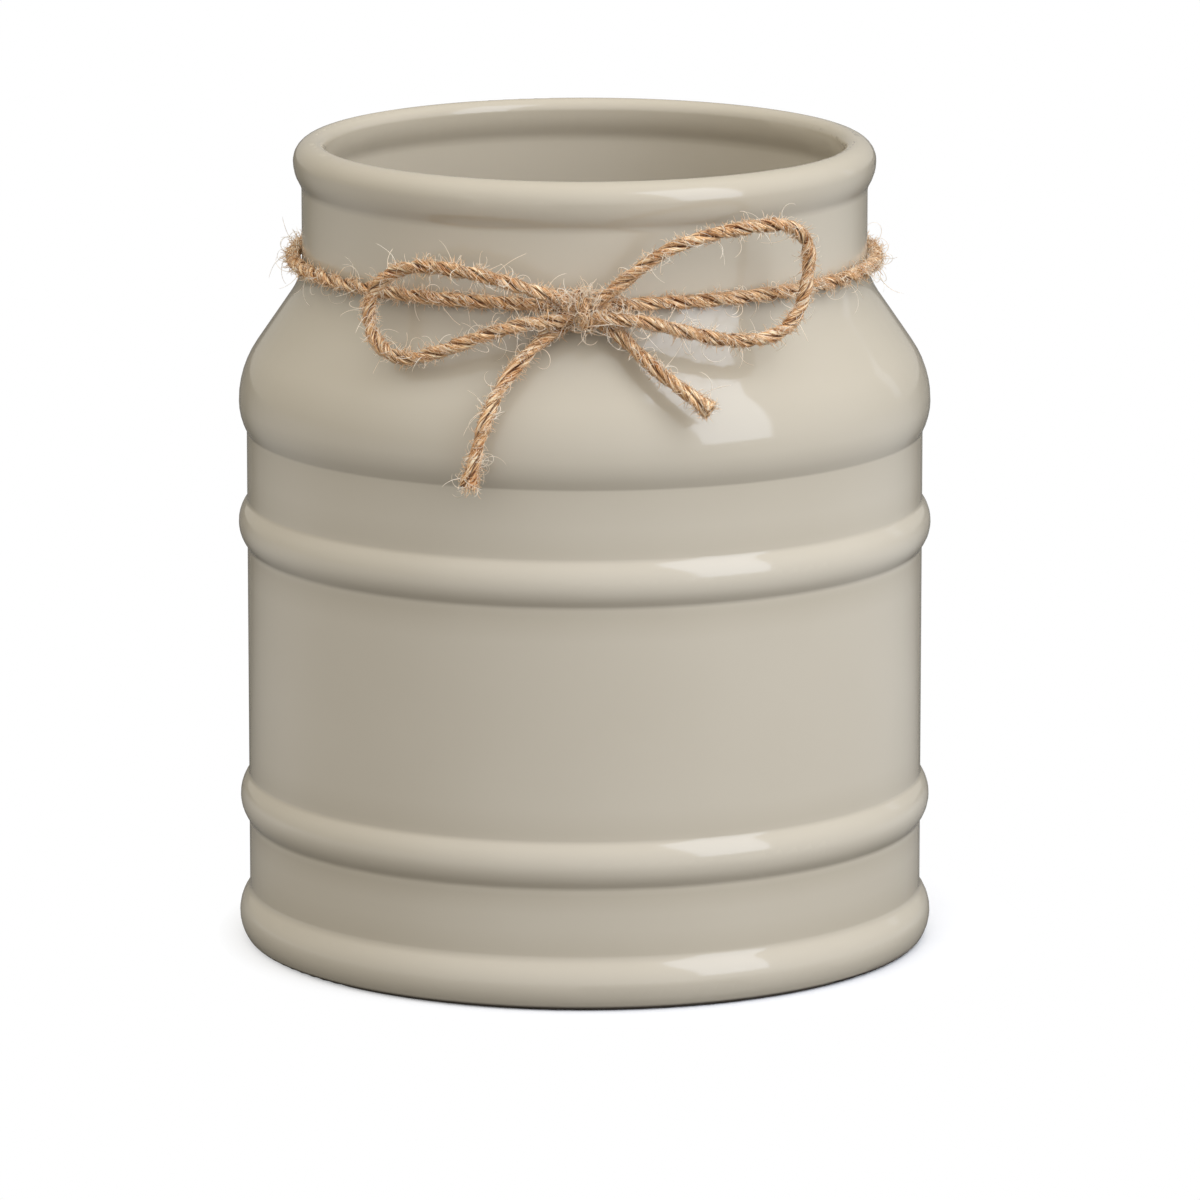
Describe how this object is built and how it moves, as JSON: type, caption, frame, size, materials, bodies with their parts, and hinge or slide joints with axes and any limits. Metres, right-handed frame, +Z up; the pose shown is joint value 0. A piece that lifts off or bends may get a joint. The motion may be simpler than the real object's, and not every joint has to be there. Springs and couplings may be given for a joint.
{
  "type": "utensil crock",
  "caption": "Open glazed stoneware utensil crock with rolled rim, sloping shoulder, raised bands and foot bead, and a jute twine bow tied round its neck",
  "frame": {"origin": "on the table, under the middle of the crock's round base", "axes": "+Z up along the crock's axis of symmetry; the bow is at the front, which faces -Y; +X is to the right seen from the front"},
  "size_m": [0.15, 0.1526, 0.174],
  "materials": {
    "glaze": "gloss",
    "jute": "matte"
  },
  "bodies": {
    "crock": {"crock_body": "glaze"},
    "twine": {"twine_neck_wrap": "jute", "twine_knot_core": "jute", "twine_knot_wrap": "jute", "twine_left_loop": "jute", "twine_right_loop": "jute", "twine_left_tail": "jute", "twine_right_tail": "jute"}
  },
  "joints": [
    {"name": "twine_turn", "type": "hinge", "parent": "crock", "child": "twine", "pos_m": [0, 0, 0.1488], "axis": [0, 0, 1], "continuous": true}
  ]
}
